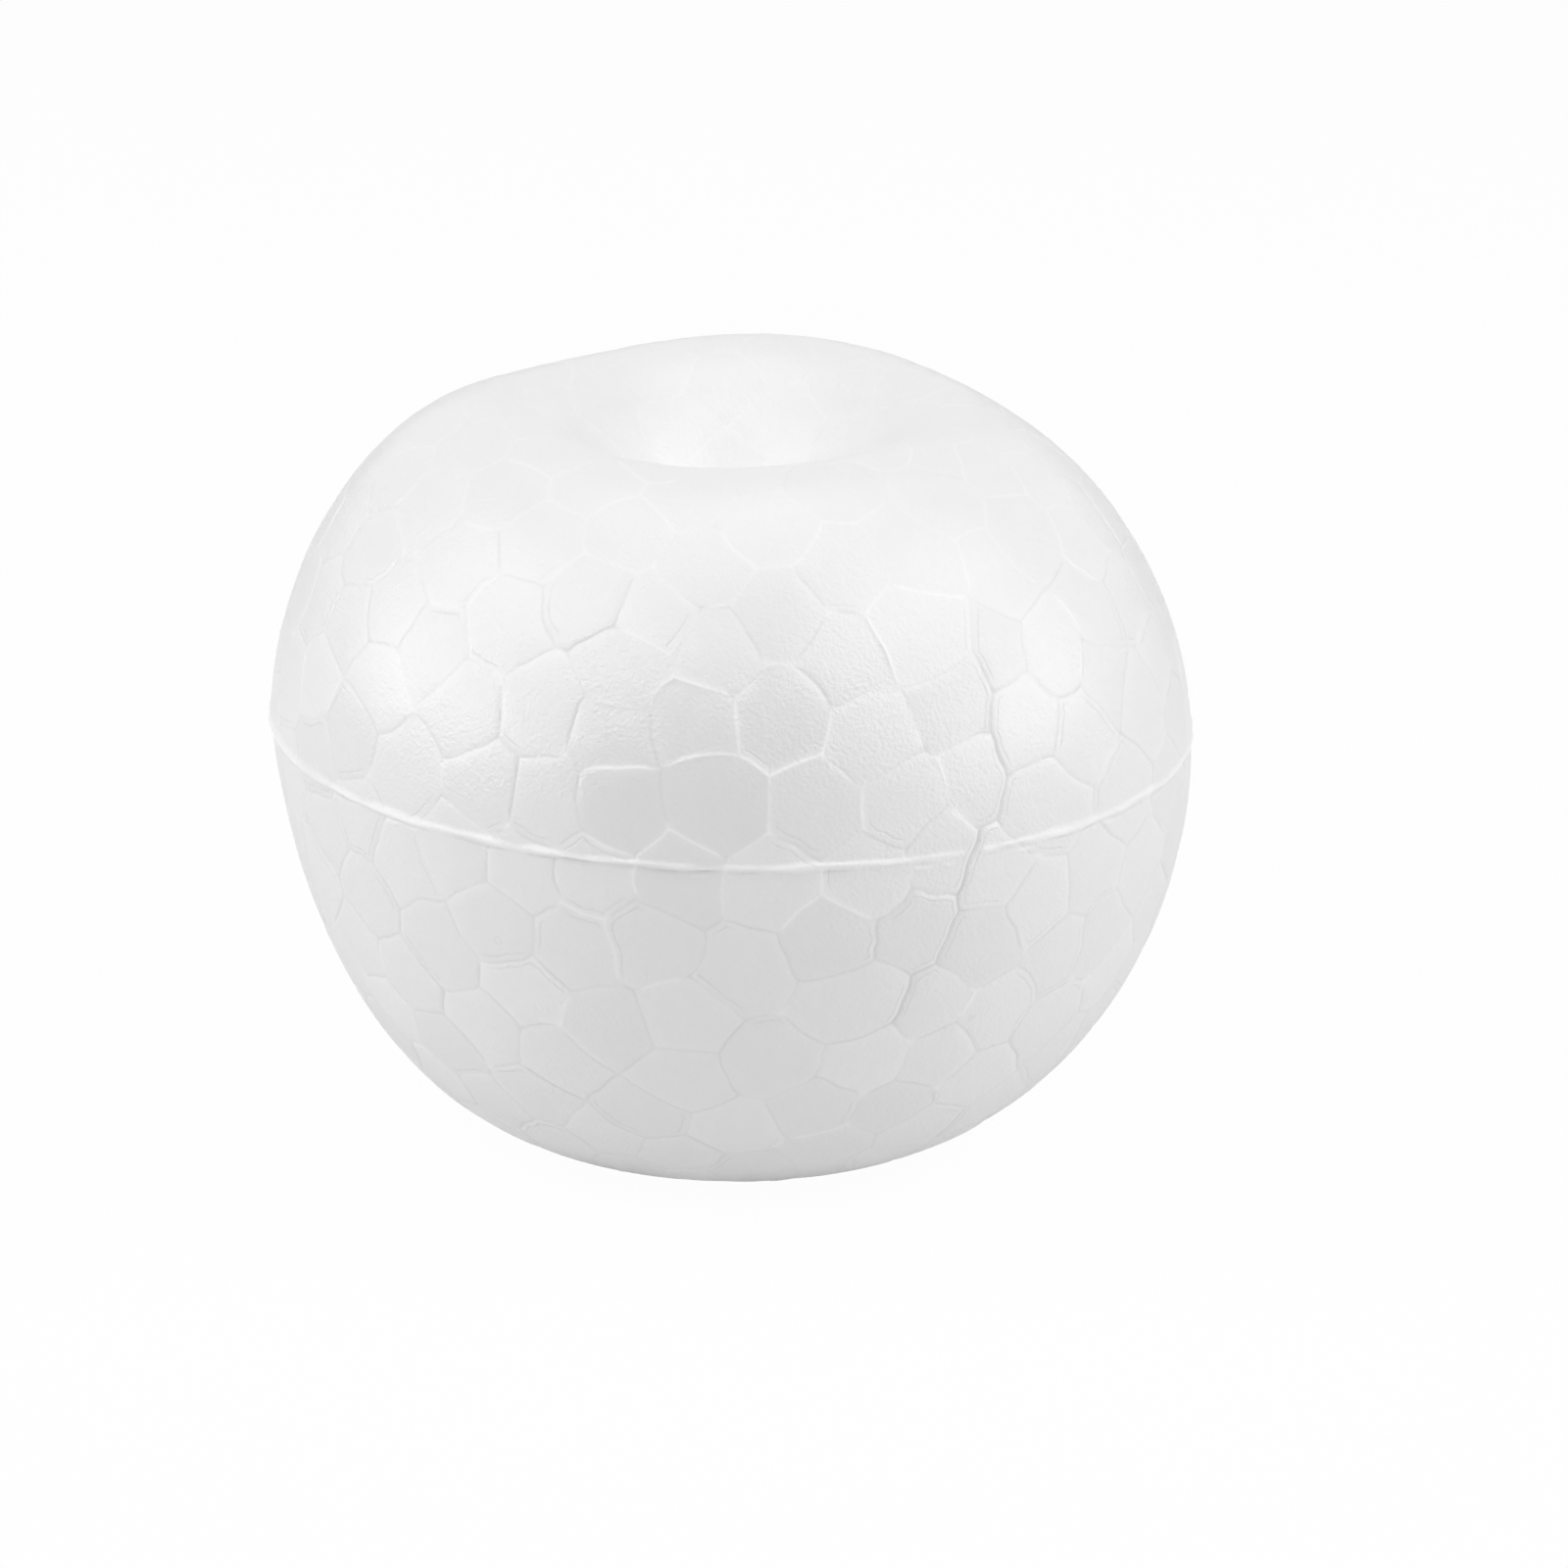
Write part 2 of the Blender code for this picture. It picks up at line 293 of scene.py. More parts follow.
def bead_seeds(form, skin):
    """Bead centres along a golden-angle spiral of equal areas, nudged and then settled."""
    rng = np.random.default_rng(skin.seed)
    total = form.area[-1]
    count = round(total / (skin.bead_size ** 2 * math.sqrt(3.0) / 2.0))
    seeds = [form.direction(0.0, 0.0)]
    for index in range(1, count):
        run = np.interp(total * index / (count - 0.5), form.area, form.run)
        reach = max(skin.bead_size / 2.0, np.interp(run, form.run, form.r))
        along, around = rng.normal(0.0, skin.bead_spread, 2)
        seeds.append(form.direction(abs(run + along), index * GOLDEN_ANGLE + around / reach))
    for _ in range(skin.settling_rounds):
        corners, cells = bead_cells(form, skin, seeds)
        seeds = [middle_of(corners, ring) for ring in cells]
        seeds[0] = form.direction(0.0, 0.0)
    return seeds


def bead_cells(form, skin, seeds):
    """Corners shared by the beads, and each bead's ring of corner numbers.

    The hull of the seeds joins neighbouring beads by triangles. Each triangle's
    normal points at the corner where its three beads meet.
    """
    hull = bmesh.new()
    verts = [hull.verts.new(seed) for seed in seeds]
    bmesh.ops.convex_hull(hull, input=verts)
    hull.faces.index_update()
    corners = []
    for face in hull.faces:
        face.normal_update()
        outward = 1.0 if face.normal.dot(face.calc_center_median()) > 0.0 else -1.0
        corners.append(face.normal * outward)
    places = form.place([tuple(corner) for corner in corners], 0.0)
    stand_in = list(range(len(corners)))
    for edge in hull.edges:
        kept, dropped = (face.index for face in edge.link_faces)
        if np.linalg.norm(places[kept] - places[dropped]) < skin.corner_merge:
            old = stand_in[dropped]
            stand_in = [stand_in[kept] if number == old else number for number in stand_in]
    cells = []
    for vert in verts:
        across = vert.co.orthogonal().normalized()
        up = vert.co.normalized().cross(across)
        around = sorted(
            (face.index for face in vert.link_faces),
            key=lambda index: math.atan2(corners[index].dot(up), corners[index].dot(across)),
        )
        ring = list(dict.fromkeys(stand_in[index] for index in around))
        if len(ring) > 2:
            cells.append(ring)
    hull.free()
    return corners, cells


def ring_sides(ring):
    return list(zip(ring, ring[1:] + ring[:1]))


def crease_line(skin, height):
    """Azimuth of the crease at a height."""
    share = (skin.crease_top - height) / (skin.crease_top - skin.crease_foot)
    return skin.crease_azimuth + skin.crease_lean * share


def crease_path(form, skin, corners, cells):
    """Corners along the bead borders that lead most directly down the crease."""
    places = {number: form.spot(corners[number]) for ring in cells for number in ring}
    neighbours = {number: set() for number in places}
    for ring in cells:
        for here, after in ring_sides(ring):
            neighbours[here].add(after)
            neighbours[after].add(here)
    start, finish = (
        min(places, key=lambda number: (places[number] - end).length)
        for end in (
            form.on_meridian(height, crease_line(skin, height))
            for height in (skin.crease_top, skin.crease_foot)
        )
    )
    queue = [(0.0, start, [start])]
    visited = set()
    here = None
    while here != finish:
        cost, here, path = heapq.heappop(queue)
        if here in visited:
            continue
        visited.add(here)
        for after in neighbours[here] - visited:
            place = places[after]
            aside = abs(math.atan2(place.y, place.x) - crease_line(skin, place.z)) * form.body_radius
            length = (place - places[here]).length
            heapq.heappush(
                queue, (cost + length * (1.0 + aside / skin.bead_size), after, path + [after])
            )
    return path


def straighten_crease(form, skin, corners, crease):
    """Turns the crease's corners part of the way towards its line."""
    for number in crease:
        place = form.spot(corners[number])
        aside = crease_line(skin, place.z) - math.atan2(place.y, place.x)
        corners[number] = Matrix.Rotation(aside * CREASE_PULL, 3, "Z") @ corners[number]


def flash_break(form, skin, corners, crease):
    """Azimuth at which the crease crosses the parting line."""
    level = form.size.parting_height
    places = [form.spot(corners[number]) for number in crease]
    for upper, lower in zip(places, places[1:]):
        if lower.z <= level <= upper.z:
            crossing = upper.lerp(lower, (upper.z - level) / (upper.z - lower.z))
            return math.atan2(crossing.y, crossing.x)
    return skin.crease_azimuth


class BeadSkin:
    """Fine mesh of the beads: rings of points from each shared border to each bead's middle."""

    def __init__(self, form, skin):
        self.form = form
        self.skin = skin
        self.rng = np.random.default_rng(skin.seed + 1)
        self.corners, self.cells = bead_cells(form, skin, bead_seeds(form, skin))
        self.crease = crease_path(form, skin, self.corners, self.cells)
        straighten_crease(form, skin, self.corners, self.crease)
        level = form.size.parting_height
        self.front = form.on_meridian(level + FRONT_RISE, FRONT_AZIMUTH)
        self.painted_dark_reflection = form.on_meridian(level + DARK_REFLECTION_RISE, DARK_REFLECTION_AZIMUTH)
        self.directions = []
        self.lifts = []
        self.insets = []
        self.lines = []
        self.doubles = []
        self.tones_and_dark_reflection = []
        self.faces = []
        self.corner_number = {}
        self.side_points = {}

    def add_points(self, directions, lifts, insets, lines, doubles, tones_and_dark_reflection):
        """Adds skin points and gives the number of the first."""
        first = len(self.lifts)
        self.directions.extend(directions)
        self.lifts.extend(lifts)
        self.insets.extend(insets)
        self.lines.extend(lines)
        self.doubles.extend(doubles)
        self.tones_and_dark_reflection.extend(tones_and_dark_reflection)
        return first

    def side(self, here, after):
        """Point numbers, depths and half widths along the border from one corner to another."""
        key = (min(here, after), max(here, after))
        if key not in self.side_points:
            self.side_points[key] = self.make_side(*key)
        numbers, depths, widths = self.side_points[key]
        if here == key[0]:
            return numbers[:-1], depths[:-1], widths[:-1]
        return numbers[:0:-1], depths[:0:-1], widths[:0:-1]

    def corner(self, number):
        if number not in self.corner_number:
            depth, line = self.border_kind(self.form.spot(self.corners[number]), number in self.crease)
            lift = -depth - self.skin.pillow
            first = self.add_points([tuple(self.corners[number])], [lift], [0.0], [line], [0.0], [0.0])
            self.corner_number[number] = (first, depth)
        return self.corner_number[number]

    def make_side(self, here, after):
        """A border line with its own bow, waver and depth."""
        skin = self.skin
        start = np.array(self.corners[here])
        end = np.array(self.corners[after])
        span = end - start
        length = (self.form.spot(self.corners[after]) - self.form.spot(self.corners[here])).length
        count = max(2, round(length / skin.side_step))
        share = np.linspace(0.0, 1.0, count + 1)
        sideways = np.cross(start, end)
        sideways /= np.linalg.norm(sideways)
        hump = 4.0 * share * (1.0 - share)
        waver = self.rng.normal(0.0, SIDE_WAVER) * np.sin(3.0 * math.pi * share)
        offset = np.linalg.norm(span) * (self.rng.normal(0.0, SIDE_BOW) * hump + waver)
        directions = start + span * share[:, None] + offset[:, None] * sideways
        creased = self.is_crease(here, after)
        depth, line = self.border_kind(self.form.spot(self.corners[here] + self.corners[after]), creased)
        width = skin.crease_width if creased else skin.groove_width * self.rng.uniform(*WIDTH_SPREAD)
        start_number, start_depth = self.corner(here)
        end_number, end_depth = self.corner(after)
        corner_reach = CORNER_STEPS * skin.side_step
        near_start = np.clip(1.0 - share * length / corner_reach, 0.0, 1.0) ** 2
        near_end = np.clip(1.0 - (1.0 - share) * length / corner_reach, 0.0, 1.0) ** 2
        waves = share * self.rng.uniform(*DEPTH_WAVES) + self.rng.random()
        swing = 1.0 + DEPTH_WAVE * np.sin(2.0 * math.pi * waves)
        depths = depth * swing * (1.0 - near_start - near_end)
        depths += start_depth * near_start + end_depth * near_end
        inner = slice(1, -1)
        first = self.add_points(
            [tuple(point) for point in directions[inner]],
            list(-depths[inner] - skin.pillow),
            [0.0] * (count - 1),
            [line] * (count - 1),
            [0.0] * (count - 1),
            [0.0] * (count - 1),
        )
        numbers = [start_number] + list(range(first, first + count - 1)) + [end_number]
        return numbers, list(depths), [width] * (count + 1)

    def is_crease(self, here, after):
        return {here, after} in [set(pair) for pair in zip(self.crease, self.crease[1:])]

    def border_kind(self, place, creased):
        """Depth of a border, and the strength of its line: above 0 for a groove, below for a ridge."""
        front = bell((place - self.front).length, FRONT_REACH)
        within = math.hypot(place.x, place.y) < self.form.size.rim_radius
        hollow = float(within and place.z > HOLLOW_LOWEST)
        top = max(hollow, min(1.0, (place.z - TOP_START) / TOP_FADE))
        quiet = (1.0 - TOP_QUIET * top) * (1.0 - HOLLOW_QUIET * hollow)
        depth = self.skin.groove_depth * self.rng.uniform(*DEPTH_SPREAD) * quiet
        line = self.rng.uniform(*LINE_SPREAD) * quiet
        # At the front, more and stronger ridges draw white lines: partly flash between beads, partly a
        # painted highlight
        share = RIDGE_SHARE + RIDGE_SHARE_FRONT_HIGHLIGHT * front + RIDGE_SHARE_TOP * top
        if creased:
            open_share = min(1.0, max(CREASE_LEAST, (self.skin.crease_top - place.z) / CREASE_START))
            return self.skin.crease_depth * open_share, CREASE_LINE * open_share
        if self.rng.random() < share:
            return -RIDGE_HEIGHT * depth, -line * (1.0 + RIDGE_FRONT_HIGHLIGHT * front)
        return depth, line

    def add_bead(self, ring):
        """Rings of points from the border inwards, joined by faces, and a fan at the middle."""
        skin = self.skin
        middle = middle_of(self.corners, ring)
        numbers, depths, widths, reach = [], [], [], []
        centre = self.form.spot(middle)
        doubled = self.rng.random(len(ring)) < DOUBLE_SHARE
        double = []
        for is_double, (here, after) in zip(doubled, ring_sides(ring)):
            is_double = is_double or self.is_crease(here, after)
            side_numbers, side_depths, side_widths = self.side(here, after)
            a = self.form.spot(self.corners[here])
            b = self.form.spot(self.corners[after])
            away = (centre - a) - (b - a) * ((centre - a).dot(b - a) / (b - a).length_squared)
            numbers += side_numbers
            depths += side_depths
            widths += side_widths
            reach += [away.length] * len(side_numbers)
            double += [float(is_double)] * len(side_numbers)
        count = len(numbers)
        border = np.array([self.directions[number] for number in numbers])
        depths, widths, reach, double = map(np.array, (depths, widths, reach, double))
        tone_and_dark_reflection = self.rng.normal(0.0, 1.0)
        # Painted dark reflection: beads near the front are darkened as painted shade, on top of their
        # random tone
        tone_and_dark_reflection -= DARK_REFLECTION_STRENGTH * bell((centre - self.painted_dark_reflection).length, DARK_REFLECTION_REACH)
        pillow = skin.pillow * self.rng.normal(1.0, PILLOW_SPREAD)
        step = self.rng.normal(0.0, STEP_SPREAD)
        tilt = self.rng.normal(0.0, TILT_SPREAD, 2)
        across = np.array(middle.orthogonal().normalized())
        up = np.cross(np.array(middle), across)
        outer = numbers
        line = np.array([self.lines[number] for number in numbers])
        caps = np.linspace(0.0, DEEPEST_INSET, len(RING_INSETS))
        scale = np.linalg.norm(np.array(centre) - self.form.place(border, 0.0), axis=1) / np.linalg.norm(
            border - np.array(middle), axis=1
        )
        for inset, cap in zip(RING_INSETS[1:], caps[1:]):
            share = np.minimum(inset / reach, cap)
            points = border + (np.array(middle) - border) * share[:, None]
            actual = share * reach
            own = 1.0 - np.exp(-actual / FACE_START)
            local = (points - np.array(middle)) * scale[:, None]
            slope = (local @ across) * tilt[0] + (local @ up) * tilt[1]
            drop = (skin.pillow * (1.0 - own) + pillow * own) * np.exp(-actual / PILLOW_REACH)
            cut = depths * np.exp(-((actual / widths) ** GROOVE_POWER))
            lifts = -cut - drop + own * (step + slope)
            first = self.add_points(
                [tuple(point) for point in points],
                list(lifts),
                list(actual / MM),
                list(line),
                list(double),
                [tone_and_dark_reflection] * count,
            )
            inner = list(range(first, first + count))
            for index in range(count):
                after = (index + 1) % count
                self.faces.append((outer[index], outer[after], inner[after], inner[index]))
            outer = inner
        hub = self.add_points([tuple(middle)], [step], [HUB_INSET], [float(line.mean())], [0.0], [tone_and_dark_reflection])
        for index in range(count):
            self.faces.append((outer[index], outer[(index + 1) % count], hub))

    def to_object(self, name):
        for ring in self.cells:
            self.add_bead(ring)
        points = self.form.place(self.directions, np.array(self.lifts))
        mesh = bpy.data.meshes.new(name)
        mesh.from_pydata(points.tolist(), [], self.faces)
        for title, values in (
            ("inset", self.insets),
            ("line", self.lines),
            ("double", self.doubles),
            ("tone_and_dark_reflection", self.tones_and_dark_reflection),
        ):
            mesh.attributes.new(title, "FLOAT", "POINT").data.foreach_set("value", values)
        mesh.update()
        apple = bpy.data.objects.new(name, mesh)
        bpy.context.collection.objects.link(apple)
        return apple


def select_only(piece):
    """Makes one object the selected and active one."""
    bpy.ops.object.select_all(action="DESELECT")
    piece.select_set(True)
    bpy.context.view_layer.objects.active = piece


def cut_beside_parting(apple, level, offsets):
    """Level cuts through the skin, so that the flash can be drawn out between them."""
    select_only(apple)
    bpy.ops.object.mode_set(mode="EDIT")
    for offset in offsets:
        bpy.ops.mesh.select_all(action="SELECT")
        bpy.ops.mesh.bisect(
            plane_co=(0.0, 0.0, level + offset), plane_no=(0.0, 0.0, 1.0), threshold=CUT_THRESHOLD
        )
    bpy.ops.mesh.select_all(action="SELECT")
    bpy.ops.mesh.quads_convert_to_tris()
    bpy.ops.mesh.normals_make_consistent(inside=False)
    bpy.ops.object.mode_set(mode="OBJECT")


WAVE_SWING = (0.5, 1.0)
WAVE_MEAN_SQUARE = 0.35


def ring_noise(rng, azimuth, waves):
    """Smooth random curve round the apple, mostly between -1 and 1."""
    total = np.zeros_like(azimuth)
    for wave in waves:
        total += np.sin(wave * azimuth + rng.uniform(0.0, 2.0 * math.pi)) * rng.uniform(*WAVE_SWING)
    return total / math.sqrt(WAVE_MEAN_SQUARE * len(waves))


def bell(distance, width):
    return np.exp(-((distance / width) ** 2))


# Waves round the apple in each part of the flash's unevenness
WANDER_WAVES = (3, 7, 16, 31)
RISE_WAVES = (2, 5, 13, 29, 61)
SPREAD_WAVES = (2, 9, 21, 47)
PINCH_WAVES = (5, 17, 33, 71)
SHRED_WAVES = (11, 27, 53, 97)

# The flash: its wander off the level, its height and width as shares of their full values, and its
# widening at the left with its reach in radians
WANDER = 0.08 * MM
RISE_MEAN = 0.7
RISE_SWING = 0.3
RISE_LEAST = 0.25
SPREAD_SWING = 0.18
LEFT_SPREAD = 0.9
LEFT_REACH = 0.5

# The broken pinched line below the flash, and the shreds below that: how much of the way round each
# takes, its distance from the parting line, its half width, its depth or height, and its shade
NEAR_FLASH = 2.0 * MM
PINCH_MEAN = 0.5
PINCH_SWING = 0.9
PINCH_FEET = 1.10
PINCH_WIDTH = 0.10 * MM
PINCH_DEPTH = 0.07
# The pinched line's dark shade is painted shadow under the flash, beside its real shallow groove
PINCH_PAINTED_SHADOW = 0.8
SHRED_SWING = 2.0
SHRED_LIMIT = 1.4
SHRED_DROP = 0.36 * MM
SHRED_WIDTH = 0.11 * MM
SHRED_HEIGHT = 0.12
SHRED_SHADE = 0.7


def draw_out_flash(apple, form, skin, break_azimuth):
    """Draws the strip at the parting line out into uneven flash, open at the crease.

    Below it runs a broken pinched line, and below that a few loose shreds of flash.
    """
    rng = np.random.default_rng(skin.seed + 2)
    mesh = apple.data
    points = np.empty(len(mesh.vertices) * 3)
    mesh.vertices.foreach_get("co", points)
    points = points.reshape(-1, 3)
    azimuth = np.arctan2(points[:, 1], points[:, 0])
    radius = np.maximum(np.hypot(points[:, 0], points[:, 1]), NEAR_AXIS)
    wander = ring_noise(rng, azimuth, WANDER_WAVES)
    rise = ring_noise(rng, azimuth, RISE_WAVES)
    from_left = math.pi - np.abs(azimuth)
    uneven = SPREAD_SWING * ring_noise(rng, azimuth, SPREAD_WAVES)
    spread = 1.0 + uneven + LEFT_SPREAD * bell(from_left, LEFT_REACH)
    pinch = np.clip(PINCH_MEAN + PINCH_SWING * ring_noise(rng, azimuth, PINCH_WAVES), 0.0, 1.0)
    shred = np.clip(SHRED_SWING * ring_noise(rng, azimuth, SHRED_WAVES) - SHRED_LIMIT, 0.0, 1.0)
    from_break = np.abs(azimuth - break_azimuth) * form.body_radius
    closed = np.clip(from_break / skin.flash_gap - 1.0, 0.0, 1.0)
    off_plane = points[:, 2] - form.size.parting_height
    foot = skin.flash_foot * spread
    crest = skin.flash_crest * spread
    share = np.clip((foot - np.abs(off_plane)) / (foot - crest), 0.0, 1.0) * closed
    height = skin.flash_height * np.clip(RISE_MEAN + RISE_SWING * rise, RISE_LEAST, 1.0)
    drawn = (form.body_radius + height - radius) * share
    near = np.abs(off_plane) < NEAR_FLASH
    pinched = near * pinch * closed * bell(off_plane + PINCH_FEET * foot, PINCH_WIDTH)
    below = off_plane + skin.flash_foot + SHRED_DROP
    shredded = near * shred * closed * bell(below, SHRED_WIDTH)
    drawn += (SHRED_HEIGHT * shredded - PINCH_DEPTH * pinched) * MM
    points[:, :2] *= (1.0 + drawn / radius)[:, None]
    points[:, 2] += WANDER * wander * share
    mesh.vertices.foreach_set("co", points.ravel())
    # The negative part of this attribute darkens the pinched line as painted shadow under the flash
    mesh.attributes.new("flash", "FLOAT", "POINT").data.foreach_set(
        "value", share + SHRED_SHADE * shredded - PINCH_PAINTED_SHADOW * pinched
    )
    mesh.update()


class Shade:
    """A shader value: an expression on values adds its Math nodes."""

    def __init__(self, maker, socket):
        self.maker = maker
        self.socket = socket

    def math(self, operation, *values):
        return self.maker.add("ShaderNodeMath", {"operation": operation}, dict(enumerate(values)))

    def __add__(self, other):
        return self.math("ADD", self, other)

    def __radd__(self, other):
        return self.math("ADD", other, self)

    def __sub__(self, other):
        return self.math("SUBTRACT", self, other)

    def __rsub__(self, other):
        return self.math("SUBTRACT", other, self)

    def __mul__(self, other):
        return self.math("MULTIPLY", self, other)

    def __rmul__(self, other):
        return self.math("MULTIPLY", other, self)

    def __truediv__(self, other):
        return self.math("DIVIDE", self, other)

    def __pow__(self, other):
        return self.math("POWER", self, other)

    def above(self, level):
        return self.math("GREATER_THAN", self, level)

    def below(self, level):
        return self.math("LESS_THAN", self, level)

    def held(self):
        """The value, held between 0 and 1."""
        return self.maker.add("ShaderNodeClamp", {}, {"Value": self})

    def at_least(self, other):
        return self.math("MAXIMUM", self, other)

    def fall(self):
        """1 at zero, falling to 0 on both sides of it as a bell."""
        return self.math("POWER", math.e, 0.0 - self * self)


# Specks and tiny rings: the size of a cell that may hold one, their own sizes, and the random value
# above which a cell has a speck and below which it has a ring
SPECK_SPACING = 9.0 * MM
SPECK_RADIUS = 0.14 * MM
SPECK_LIMIT = 0.66
RING_RADIUS = 0.32 * MM
RING_LINE = 0.07 * MM
RING_LIMIT = 0.2

# Streaks in the hollow: the size of their noise, and how fast it changes away from the axis
STREAK_SIZE = 0.05
STREAK_CHANGE = 40.0


class NodeMaker:
    """Adds nodes to a material's or world's tree."""

    def __init__(self, tree):
        self.tree = tree

    def add(self, kind, settings=None, inputs=None, output=0):
        """A new node: its settings first, then the values or links of its inputs."""
        node = self.tree.nodes.new(kind)
        for name, value in (settings or {}).items():
            setattr(node, name, value)
        for name, value in (inputs or {}).items():
            if isinstance(value, Shade):
                self.tree.links.new(value.socket, node.inputs[name])
            else:
                node.inputs[name].default_value = value
        return Shade(self, node.outputs[output]) if node.outputs else node

    def attribute(self, name):
        return self.add("ShaderNodeAttribute", {"attribute_name": name}, output="Fac")

    def axes(self, vector):
        """The x, y and z of a vector."""
        split = self.tree.nodes.new("ShaderNodeSeparateXYZ")
        self.tree.links.new(vector.socket, split.inputs[0])
        return [Shade(self, part) for part in split.outputs]

    def grey(self, value):
        return self.add("ShaderNodeCombineColor", {}, {"Red": value, "Green": value, "Blue": value})

    def noise(self, place, size, detail=2.0, distortion=0.0):
        """Noise whose features are about as large as the given size."""
        inputs = {"Vector": place, "Scale": 1.0 / size, "Detail": detail, "Distortion": distortion}
        return self.add("ShaderNodeTexNoise", {}, inputs)

    def ray_kinds(self):
        """1 for a ray from the camera, then 1 for one reflected or let through; otherwise 0."""
        path = self.tree.nodes.new("ShaderNodeLightPath")
        kinds = ("Is Camera Ray", "Is Glossy Ray", "Is Transmission Ray")
        camera, glossy, through = (Shade(self, path.outputs[kind]) for kind in kinds)
        return camera, (glossy + through).held() * (1.0 - camera)

    def specks(self, place):
        """Tiny specks in about a third of the cells, and tiny rings in about a fifth."""
        settings = {"voronoi_dimensions": "3D", "feature": "F1"}
        inputs = {"Vector": place, "Scale": 1.0 / SPECK_SPACING}
        distance = self.add("ShaderNodeTexVoronoi", settings, inputs)
        kind = self.add("ShaderNodeTexVoronoi", settings, inputs, output="Color")
        red = self.add("ShaderNodeSeparateColor", {}, {"Color": kind}, output="Red")
        away = distance * SPECK_SPACING
        speck = (away / SPECK_RADIUS).fall() * red.above(SPECK_LIMIT)
        ring = ((away - RING_RADIUS) / RING_LINE).fall() * red.below(RING_LIMIT)
        return speck, ring

    def streaks(self, x, y, reach):
        """Noise drawn out into streaks that run away from the apple's axis."""
        parts = {"X": x / reach, "Y": y / reach, "Z": reach * STREAK_CHANGE}
        turned = self.add("ShaderNodeCombineXYZ", {}, parts)
        return self.noise(turned, STREAK_SIZE, detail=3.0) - 0.5

    def mix_colour(self, share, first, second, blend="MIX"):
        return self.add(
            "ShaderNodeMix",
            {"data_type": "RGBA", "blend_type": blend, "clamp_factor": True},
            {"Factor": share, 6: first, 7: second},
            output=2,
        )


def opaque(colour):
    return (*colour, 1.0)


def new_material(name):
    material = bpy.data.materials.new(name)
    material.use_nodes = True
    material.node_tree.nodes.clear()
    return material, NodeMaker(material.node_tree)


# Lines drawn beside a border: distances in from it and half widths, in millimetres as inset gives
GROOVE_LINE = 0.12
RIDGE_LINE = 0.13
# Half width of the painted sheen, a lighter band inside each border that stands in for reflection
PAINTED_SHEEN_LINE = 0.7
SECOND_INSET = 0.55
SECOND_LINE = 0.07
SECOND_WAVER = 0.35

# The foot's painted light, which lightens it against the floor's contact shadow: its top and the height
# over which it fades
FOOT_TOP = 7.0 * MM
FOOT_FADE = 5.0 * MM

# Where the hollow and its pit end, and over what length each fades, from the apple's axis; the pit gets
# painted light, the hollow painted shade
AXIS_CLEARANCE = 0.1 * MM
HOLLOW_REACH = 17.0 * MM
HOLLOW_FADE = 4.0 * MM
PIT_REACH = 13.0 * MM
PIT_FADE = 5.0 * MM
STREAK_START = 1.0 * MM
STREAK_FADE = 3.0 * MM

# How strongly marks, specks and rings take the border's colour, and ridges the flash's white, at the front
# partly a painted highlight
GROOVE_MARK = 0.8
SECOND_MARK = 0.5
MARK_STAIN = 0.9
SPECK_STAIN = 2.5
RING_STAIN = 0.5
RIDGE_WHITE_AND_HIGHLIGHT = 0.9

# Lightness: the usual one, and what each part adds to it; the sheen, dark reflection, pit, hollow and foot
# parts are painted light and shade
USUAL_SHADE = 0.99
BORDER_PAINTED_SHEEN = 0.012
TONE_AND_DARK_REFLECTION_SHADE = 0.013
TOP_SHADE_QUIET = 0.8
PATCH_SHADE = 0.03
PIT_PAINTED_LIGHT = 0.075
HOLLOW_PAINTED_SHADE = 0.03
FOOT_PAINTED_LIGHT = 0.09

# Sizes of the noises
PATCH_SIZE = 4.0 * MM
WAVER_SIZE = 1.2 * MM
GRAIN_SIZE = 0.30 * MM
WRINKLE_SIZE = 0.9 * MM

# Heights of the fine relief, in millimetres
GRAIN_HEIGHT = 0.05
GRAIN_PATCHES = 0.12
WRINKLE_HEIGHT = 0.04
SECOND_DEPTH = 0.03
SPECK_DEPTH = 0.03
STREAK_HEIGHT = 0.06

# Roughness: the usual one, and what each part of the pattern adds to it
USUAL_ROUGHNESS = 0.30
MARK_ROUGHNESS = 0.1
PATCH_ROUGHNESS = 0.03
TONE_ROUGHNESS = 0.002
FLASH_ROUGHNESS = 0.2
FOAM_IOR = 1.58


